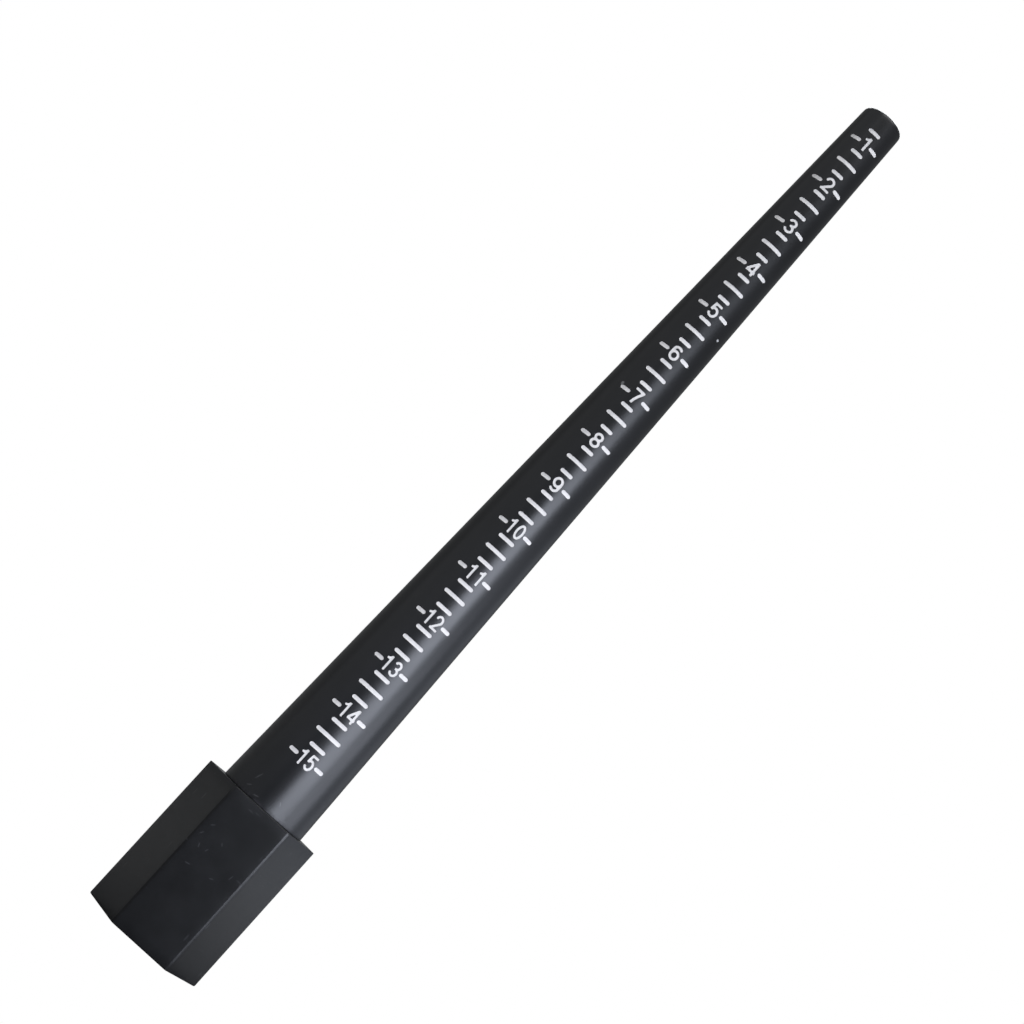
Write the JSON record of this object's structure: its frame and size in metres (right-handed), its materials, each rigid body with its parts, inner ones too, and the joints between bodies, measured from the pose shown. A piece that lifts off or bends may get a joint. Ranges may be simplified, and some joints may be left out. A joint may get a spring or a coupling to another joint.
{
  "type": "ring mandrel",
  "caption": "Tapered black spindle for gauging and rounding finger rings, with white engraved size graduations, seated in a hexagonal handle.",
  "frame": {"origin": "middle of the flat butt of the handle, where the mandrel stands upright on a bench", "axes": "+Z along the axis of the taper, from the handle's butt to the tip; -Y out of the handle flat that the scale is centred over; +X to the right of somebody who reads the scale with the tip up"},
  "size_m": [0.0336, 0.0296, 0.2794],
  "materials": {
    "spindle_plastic": "satin black with a soft broad highlight and faint handling scuffs",
    "handle_plastic": "matt black, finely grained, dusty and lightly scratched, edges rubbed brighter",
    "scale_white": "white filling paint with a soft sheen"
  },
  "bodies": {
    "root": {"hex_handle": "handle_plastic", "sizing_spindle": "spindle_plastic", "graduation_0_75": "scale_white", "graduation_1_25": "scale_white", "graduation_1_50": "scale_white", "graduation_1_75": "scale_white", "graduation_2_25": "scale_white", "graduation_2_50": "scale_white", "graduation_2_75": "scale_white", "graduation_3_25": "scale_white", "graduation_3_50": "scale_white", "graduation_3_75": "scale_white", "graduation_4_25": "scale_white", "graduation_4_50": "scale_white", "graduation_4_75": "scale_white", "graduation_5_25": "scale_white", "graduation_5_50": "scale_white", "graduation_5_75": "scale_white", "graduation_6_25": "scale_white", "graduation_6_50": "scale_white", "graduation_6_75": "scale_white", "graduation_7_25": "scale_white", "graduation_7_50": "scale_white", "graduation_7_75": "scale_white", "graduation_8_25": "scale_white", "graduation_8_50": "scale_white", "graduation_8_75": "scale_white", "graduation_9_25": "scale_white", "graduation_9_50": "scale_white", "graduation_9_75": "scale_white", "graduation_10_25": "scale_white", "graduation_10_50": "scale_white", "graduation_10_75": "scale_white", "graduation_11_25": "scale_white", "graduation_11_50": "scale_white", "graduation_11_75": "scale_white", "graduation_12_25": "scale_white", "graduation_12_50": "scale_white", "graduation_12_75": "scale_white", "graduation_13_25": "scale_white", "graduation_13_50": "scale_white", "graduation_13_75": "scale_white", "graduation_14_25": "scale_white", "graduation_14_50": "scale_white", "graduation_14_75": "scale_white"}
  },
  "joints": []
}
